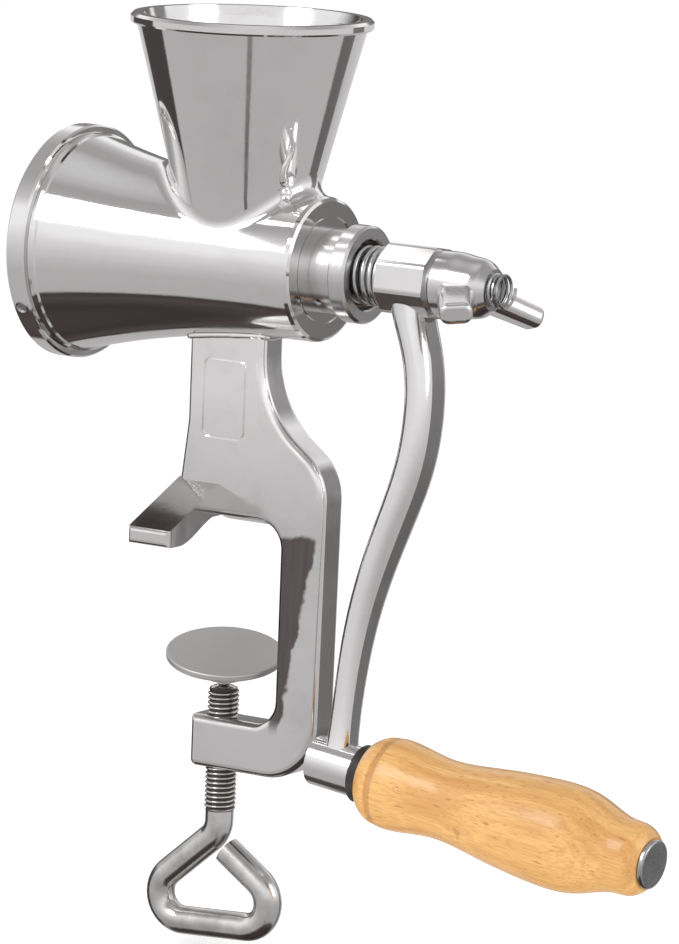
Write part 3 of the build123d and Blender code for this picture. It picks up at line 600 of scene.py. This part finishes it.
def new_tree(name, sizes):
    """An empty Geometry Nodes tree with a geometry output and one float input for each named size."""
    tree = bpy.data.node_groups.new(name, "GeometryNodeTree")
    tree.interface.new_socket("Geometry", in_out="INPUT", socket_type="NodeSocketGeometry")
    tree.interface.new_socket("Geometry", in_out="OUTPUT", socket_type="NodeSocketGeometry")
    for size_name in sizes:
        tree.interface.new_socket(size_name, in_out="INPUT", socket_type="NodeSocketFloat")
    graph = Graph(tree)
    given = graph.add("NodeGroupInput").socket.node
    return graph, {name: Wire(graph, given.outputs[name]) for name in ("Geometry", *sizes)}


def end_tree(graph, geometry, finish):
    solid = graph.add("GeometryNodeRealizeInstances", values={0: geometry})
    smooth = graph.add("GeometryNodeSetShadeSmooth", values={"Geometry": solid})
    coated = graph.add("GeometryNodeSetMaterial", values={"Geometry": smooth, "Material": finish})
    graph.add("NodeGroupOutput", values={0: coated})


def freeze(name, start_mesh, graph, sizes, finish, body, angle=None):
    """Runs the tree on a start mesh, keeps the result as a plain closed mesh and makes it ride on a body."""
    maker = place_object(name + "_maker", start_mesh)
    modifier = maker.modifiers.new("rule", "NODES")
    modifier.node_group = graph.tree
    for item in graph.tree.interface.items_tree:
        if item.in_out == "INPUT" and item.name in sizes:
            modifier[item.identifier] = float(sizes[item.name])
    bpy.context.view_layer.update()
    evaluated = maker.evaluated_get(bpy.context.evaluated_depsgraph_get())
    mesh = bpy.data.meshes.new_from_object(evaluated)
    maker.modifiers.clear()
    bpy.data.objects.remove(maker)
    return settle(name, mesh, finish, body, angle)


def settle(name, mesh, finish, body, angle=None):
    """Closes seams, turns faces outward, sets the finish and makes the piece ride on its body."""
    work = bmesh.new()
    work.from_mesh(mesh)
    bmesh.ops.remove_doubles(work, verts=work.verts, dist=MERGE_DISTANCE)
    bmesh.ops.recalc_face_normals(work, faces=work.faces)
    work.to_mesh(mesh)
    open_edges = sum(1 for edge in work.edges if len(edge.link_faces) != 2)
    work.free()
    mesh.name = name
    mesh.materials.clear()
    mesh.materials.append(finish)
    mesh.shade_smooth()
    if angle is not None:
        mesh.set_sharp_from_angle(angle=angle)
    piece = place_object(name, mesh)
    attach(piece, body)
    print(name, len(mesh.polygons), "faces,", open_edges, "open edges")
    return piece


def path_mesh(name, points):
    """An open line through the points, as a mesh of edges."""
    mesh = bpy.data.meshes.new(name)
    mesh.from_pydata([tuple(point) for point in points], [(i, i + 1) for i in range(len(points) - 1)], [])
    return mesh


def carry_ring(graph, curve, sides, radius, scale=None):
    """A closed tube: a ring carried along a curve, with a scale that varies along it if one is given."""
    ring = graph.add("GeometryNodeCurvePrimitiveCircle", values={"Resolution": sides, "Radius": radius})
    values = {"Curve": curve, "Profile Curve": ring, "Fill Caps": True}
    if scale is not None:
        values["Scale"] = scale
    return graph.add("GeometryNodeCurveToMesh", values=values)


print("Geometry Nodes helpers ready")


# %% [markdown]
# ## Rolled threads
# A rolled thread is a cylinder whose radius rises and falls as a rounded triangle wave. The wave depends on
# the height minus the angle's share of one pitch, so its crests climb exactly one pitch each turn. The tree
# takes a fine closed cylinder and moves each point in or out by that rule, so the surface stays closed. At
# both ends the wave fades to the root, as a rolled thread does.

# %% Thread tree
THREAD_PITCH = 1.5 * MM
THREAD_DEPTH = 0.62 * MM


def thread_tree(finish):
    """Moves the side of a cylinder about Z in and out, between the thread's Bottom and Top."""
    graph, given = new_tree("rolled_thread", ("Radius", "Pitch", "Depth", "Bottom", "Top"))
    x, y, z = graph.split(graph.add("GeometryNodeInputPosition"))
    distance = radius_from(x, y)
    share = y.math("ARCTAN2", x) / tau
    phase = (z / given["Pitch"] - share).math("FRACT")
    wave = (phase - 0.5).math("ABSOLUTE") * 2.0
    flat = graph.add("ShaderNodeMapRange", {"interpolation_type": "SMOOTHSTEP"}, {0: wave, 1: 0.12, 2: 0.86})
    fade = graph.step(z, given["Bottom"], given["Bottom"] + given["Pitch"] * 1.6)
    fade = fade * (1.0 - graph.step(z, given["Top"] - given["Pitch"] * 0.8, given["Top"]))
    radius = given["Radius"] - given["Depth"] * (1.0 - flat * fade)
    on_side = distance.math("GREATER_THAN", given["Radius"] * 0.9)
    grow = (radius / distance.math("MAXIMUM", 0.000001) - 1.0) * on_side
    shift = graph.join(x * grow, y * grow, 0.0)
    moved = graph.add("GeometryNodeSetPosition", values={"Geometry": given["Geometry"], "Offset": shift})
    end_tree(graph, moved, finish)
    return graph


def turned_mesh(name, profile, around):
    """A closed solid turned about Z from (radius, height) points that start and end on the axis."""
    work = bmesh.new()
    rings = []
    for radius, z in profile:
        turns = [tau * k / around for k in range(around)] if radius else [0.0]
        rings.append([work.verts.new((radius * cos(turn), radius * sin(turn), z)) for turn in turns])
    for low, high in zip(rings, rings[1:]):
        for k in range(around):
            after = (k + 1) % around
            below = [ring_corner % len(low) for ring_corner in (k, after)]
            above = [ring_corner % len(high) for ring_corner in (after, k)]
            corners = [low[corner] for corner in below] + [high[corner] for corner in above]
            work.faces.new(list(dict.fromkeys(corners)))
    mesh = bpy.data.meshes.new(name)
    work.to_mesh(mesh)
    work.free()
    return mesh


print("thread rises", THREAD_PITCH, "a turn")


# %% [markdown]
# ## Clamp screw
# The clamp screw is one steel rod: threaded where it passes the arm, turned down to a neck that the ball sits
# on, and bent below into an open triangular loop that fingers turn. The thread is the tree above. The loop is
# a line with its corners filleted and a round section carried along it.

# %% Threaded length
screw_low, screw_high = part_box("clamp_screw")
ball_low, ball_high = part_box("swivel_ball")
SCREW_R, ROD_R, NECK_R = 4.95 * MM, 4.5 * MM, 1.9 * MM
THREAD_LENGTH = 40.3 * MM
THREAD_TOP_Z = ball_low.z - 2.7 * MM
THREAD_END_Z = THREAD_TOP_Z - THREAD_LENGTH
THREAD_ROWS = round(THREAD_LENGTH / (0.14 * MM))
THREAD_SIDES = 56
row_heights = [THREAD_END_Z + THREAD_LENGTH * row / THREAD_ROWS for row in range(THREAD_ROWS + 1)]
thread_profile = [(0.0, THREAD_END_Z), *((SCREW_R, z) for z in row_heights), (0.0, THREAD_TOP_Z)]
thread_sizes = {
    "Radius": SCREW_R, "Pitch": THREAD_PITCH, "Depth": THREAD_DEPTH, "Bottom": THREAD_END_Z,
    "Top": THREAD_TOP_Z,
}
freeze(
    "clamp_screw_thread", turned_mesh("thread_rows", thread_profile, THREAD_SIDES), thread_tree(thread_steel),
    thread_sizes, thread_steel, "clamp_handle",
)

# %% Bent loop
def rod_tree(finish):
    """Fillets a line's corners and carries a round section along it. Inputs: the radii Bend and Rod."""
    graph, given = new_tree("bent_rod", ("Bend", "Rod"))
    line = graph.add("GeometryNodeMeshToCurve", values={"Mesh": given["Geometry"]})
    corners = {"Curve": line, "Count": 14, "Radius": given["Bend"]}
    bent = graph.add("GeometryNodeFilletCurve", {"mode": "POLY"}, corners)
    end_tree(graph, carry_ring(graph, bent, 32, given["Rod"]), finish)
    return graph


loop_route = [
    (0.0, 0.0, THREAD_END_Z + 1.0 * MM), (0.0, 0.0, -0.0945), (-0.0374, 0.0, -0.1268),
    (0.0362, 0.0, -0.1220), (0.0032, 0.0, -0.1000),
]
screw_loop = freeze(
    "clamp_screw_loop", path_mesh("loop_route", loop_route), rod_tree(rod_steel),
    {"Bend": 8.4 * MM, "Rod": ROD_R}, rod_steel, "clamp_handle", radians(40),
)

# %% Turned neck that the ball sits on
neck_top = ball_high.z - 2.5 * MM
neck_profile = [
    (0.0, THREAD_TOP_Z - 0.5 * MM), (4.1 * MM, THREAD_TOP_Z - 0.5 * MM), (4.1 * MM, THREAD_TOP_Z),
    (3.4 * MM, THREAD_TOP_Z + 0.5 * MM), (NECK_R + 0.4 * MM, THREAD_TOP_Z + 0.7 * MM),
    (NECK_R, THREAD_TOP_Z + 1.2 * MM), (NECK_R, neck_top - 0.4 * MM), (NECK_R - 0.4 * MM, neck_top),
    (0.0, neck_top),
]
neck_mesh = turned_mesh("neck_profile", neck_profile, 40)
settle("clamp_screw_neck", neck_mesh, rod_steel, "clamp_handle", radians(35))
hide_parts("clamp_screw")
print("clamp screw from", round(screw_low.z, 4), "to", round(screw_high.z, 4))

# %% [markdown]
# ## Spring and nut thread
# Both are a section carried along a helix. The tree bends a straight line of points into the helix: the angle
# grows with the point's share of the line, and so does the distance along the shaft, slower at both ends, as
# in a spring whose last turns are closed. In the nut the same tree makes the ridge of the cut thread that
# shows in its open nose.

# %% Coil tree
def coil_tree(finish, sides):
    """Bends a line into a coil about the shaft. Closing is how much slower the ends advance, 0 to 1."""
    graph, given = new_tree("coil", ("Mean Radius", "Wire", "Start", "End", "Turns", "Closing"))
    share = graph.add("GeometryNodeSplineParameter", out="Factor")
    line = graph.add("GeometryNodeMeshToCurve", values={"Mesh": given["Geometry"]})
    angle = share * given["Turns"] * tau
    slow = (share * tau).math("SINE") * given["Closing"] / tau
    along = given["Start"] + (given["End"] - given["Start"]) * (share - slow)
    sideways = angle.math("COSINE") * given["Mean Radius"]
    upward = angle.math("SINE") * given["Mean Radius"] + SHAFT_Z
    place = graph.join(along, sideways, upward)
    coil = graph.add("GeometryNodeSetPosition", values={"Geometry": line, "Position": place})
    end_tree(graph, carry_ring(graph, coil, sides, given["Wire"]), finish)
    return graph


def straight_line(name, count):
    return path_mesh(name, [(k / count * MM, 0.0, 0.0) for k in range(count + 1)])


print("coils turn about height", SHAFT_Z)

# %% Spring
spring_low, spring_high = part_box("crank_spring")
WIRE_R = 1.0 * MM
spring_sizes = {
    "Mean Radius": 8.4 * MM, "Wire": WIRE_R, "Start": spring_low.x + 1.02 * WIRE_R,
    "End": spring_high.x - 1.02 * WIRE_R, "Turns": 5.0, "Closing": 0.22,
}
spring = freeze(
    "coiled_spring", straight_line("spring_line", 300), coil_tree(spring_steel, 14), spring_sizes,
    spring_steel, "frame", radians(50),
)
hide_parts("crank_spring")
slide = joints["crank_slide"]["range_m"]
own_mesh(spring)

# %% Thread in the nut's open nose
nose_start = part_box("main_shaft")[1].x - slide[0] + 0.8 * MM
nose_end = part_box("wing_nut")[1].x - 1.1 * MM
nut_turns = (nose_end - nose_start) / THREAD_PITCH
nut_sizes = {
    "Mean Radius": 4.86 * MM, "Wire": 0.52 * MM, "Start": nose_start, "End": nose_end, "Turns": nut_turns,
    "Closing": 0.0,
}
freeze(
    "nut_thread", straight_line("nut_line", 220), coil_tree(fastener_steel, 6), nut_sizes,
    fastener_steel, "nut", radians(30),
)
print("nut thread turns", round(nut_turns, 2))

# %% [markdown]
# ## Weld beads
# The frame's neck is welded to the underside of the barrel, and a short run of weld closes a casting flaw low
# on the hopper. A bead is a round section along a path, made thicker and thinner by noise, as the puddle
# ripples. Both paths are found by casting rays at the body's own mesh, so they lie on its surface.

# %% Bead tree
def bead_tree(finish):
    """A rippled bead along a line. Inputs: Thick at its start and Thin at its end, and Ripple as a share."""
    graph, given = new_tree("weld_bead", ("Thick", "Thin", "Ripple"))
    line = graph.add("GeometryNodeMeshToCurve", values={"Mesh": given["Geometry"]})
    share = graph.add("GeometryNodeSplineParameter", out="Factor")
    wobble = graph.noise(graph.add("GeometryNodeInputPosition"), 420.0, detail=1.0) - 0.5
    thickness = given["Thick"] + (given["Thin"] - given["Thick"]) * share
    thickness = thickness * (1.0 + wobble * given["Ripple"])
    sized = graph.add("GeometryNodeSetCurveRadius", values={"Curve": line, "Radius": thickness})
    end_tree(graph, carry_ring(graph, sized, 12, 1.0, graph.add("GeometryNodeInputRadius")), finish)
    return graph


body_mesh = frame["nodes"]["mill_body"].data
body_corners = [vertex.co.copy() for vertex in body_mesh.vertices]
body_tree = BVHTree.FromPolygons(body_corners, [tuple(face.vertices) for face in body_mesh.polygons])


def surface_point(origin, direction):
    """Where a ray first meets the body casting."""
    return body_tree.ray_cast(origin, direction)[0]


def rounded_box_path(low, high, radius, steps):
    """Points of a rectangle with rounded corners in X and Y, in order."""
    points = []
    corners = ((high.x, high.y, 1, 1), (low.x, high.y, -1, 1), (low.x, low.y, -1, -1), (high.x, low.y, 1, -1))
    for quarter, (x, y, side_x, side_y) in enumerate(corners):
        middle = Vector((x - side_x * radius, y - side_y * radius))
        for k in range(steps + 1):
            angle = (quarter + k / steps) * pi / 2
            points.append(middle + Vector((cos(angle), sin(angle))) * radius)
    return points


print("rays are cast at", len(body_mesh.polygons), "faces")

# %% Bead round the neck
NECK_LOW = Vector((-13.5 * MM, -6.3 * MM))
NECK_HIGH = Vector((14.2 * MM, 6.3 * MM))
NECK_CORNER = 1.2 * MM
BEAD_STEP = 0.9 * MM
BELOW_BARREL_Z = 45.0 * MM
UP = Vector((0.0, 0.0, 1.0))
outline = rounded_box_path(NECK_LOW, NECK_HIGH, NECK_CORNER, 4)
dense = []
for here, there in zip(outline, outline[1:] + outline[:1]):
    count = max(1, round((there - here).length / BEAD_STEP))
    dense += [here.lerp(there, k / count) for k in range(count)]
neck_route = [
    surface_point(Vector((spot.x, spot.y, BELOW_BARREL_Z)), UP) - UP * 0.1 * MM for spot in dense + dense[:1]
]
freeze(
    "neck_weld", path_mesh("neck_route", neck_route), bead_tree(frame_polish),
    {"Thick": 1.0 * MM, "Thin": 1.0 * MM, "Ripple": 0.5}, frame_polish, "frame",
)

# %% Scar beside the hopper
SCAR_BEARING = camera_bearing + radians(30)
SCAR_FOOT, SCAR_TOP, SCAR_STEPS = 0.107, 0.131, 24
SCAR_SWAY = 0.9 * MM
outward = Vector((cos(SCAR_BEARING), sin(SCAR_BEARING), 0.0))
sideways = Vector((-outward.y, outward.x, 0.0))
scar_route = []
for k in range(SCAR_STEPS + 1):
    z = SCAR_FOOT + (SCAR_TOP - SCAR_FOOT) * k / SCAR_STEPS
    origin = Vector((HOPPER_AXIS_X, 0.0, z)) + outward * 0.06 + sideways * (SCAR_SWAY * sin(k * 0.45))
    scar_route.append(surface_point(origin, -outward) - outward * 0.15 * MM)
freeze(
    "hopper_weld_scar", path_mesh("scar_route", scar_route), bead_tree(body_polish),
    {"Thick": 1.9 * MM, "Thin": 0.35 * MM, "Ripple": 1.3}, body_polish, "frame",
)

# %% [markdown]
# ## Finishes for the CAD parts
# Every CAD node gets its finish here, by name, also the two that finer shapes stand in for.

# %% Give each CAD node its finish
node_finish = {
    "mill_body": body_polish, "clamp_frame": frame_polish, "crank_arm": crank_polish,
    "wing_nut": nut_polish, "bearing_housing": bearing_steel, "main_shaft": shaft_steel,
    "shaft_bush": bronze, "thrust_washer": bronze, "cone_washer": washer_steel,
    "spring_washer": washer_steel, "nut_washer": washer_steel, "bearing_set_screw": fastener_steel,
    "ring_screws": fastener_steel, "cone_bolt": fastener_steel, "grip_bolt": fastener_steel,
    "drive_key": fastener_steel, "grip_sleeve": washer_steel, "swivel_ball": rod_steel,
    "clamp_screw": rod_steel, "crank_spring": spring_steel, "grinding_ring": burr_steel,
    "grinding_cone": burr_steel, "feed_auger": auger_steel, "clamp_pad": satin_plate,
    "grip_washer": black_rubber, "wooden_grip": varnished_wood,
}
for name, node in frame["nodes"].items():
    node.data.materials.clear()
    node.data.materials.append(node_finish[name])
print("finishes given to", len(node_finish), "nodes")
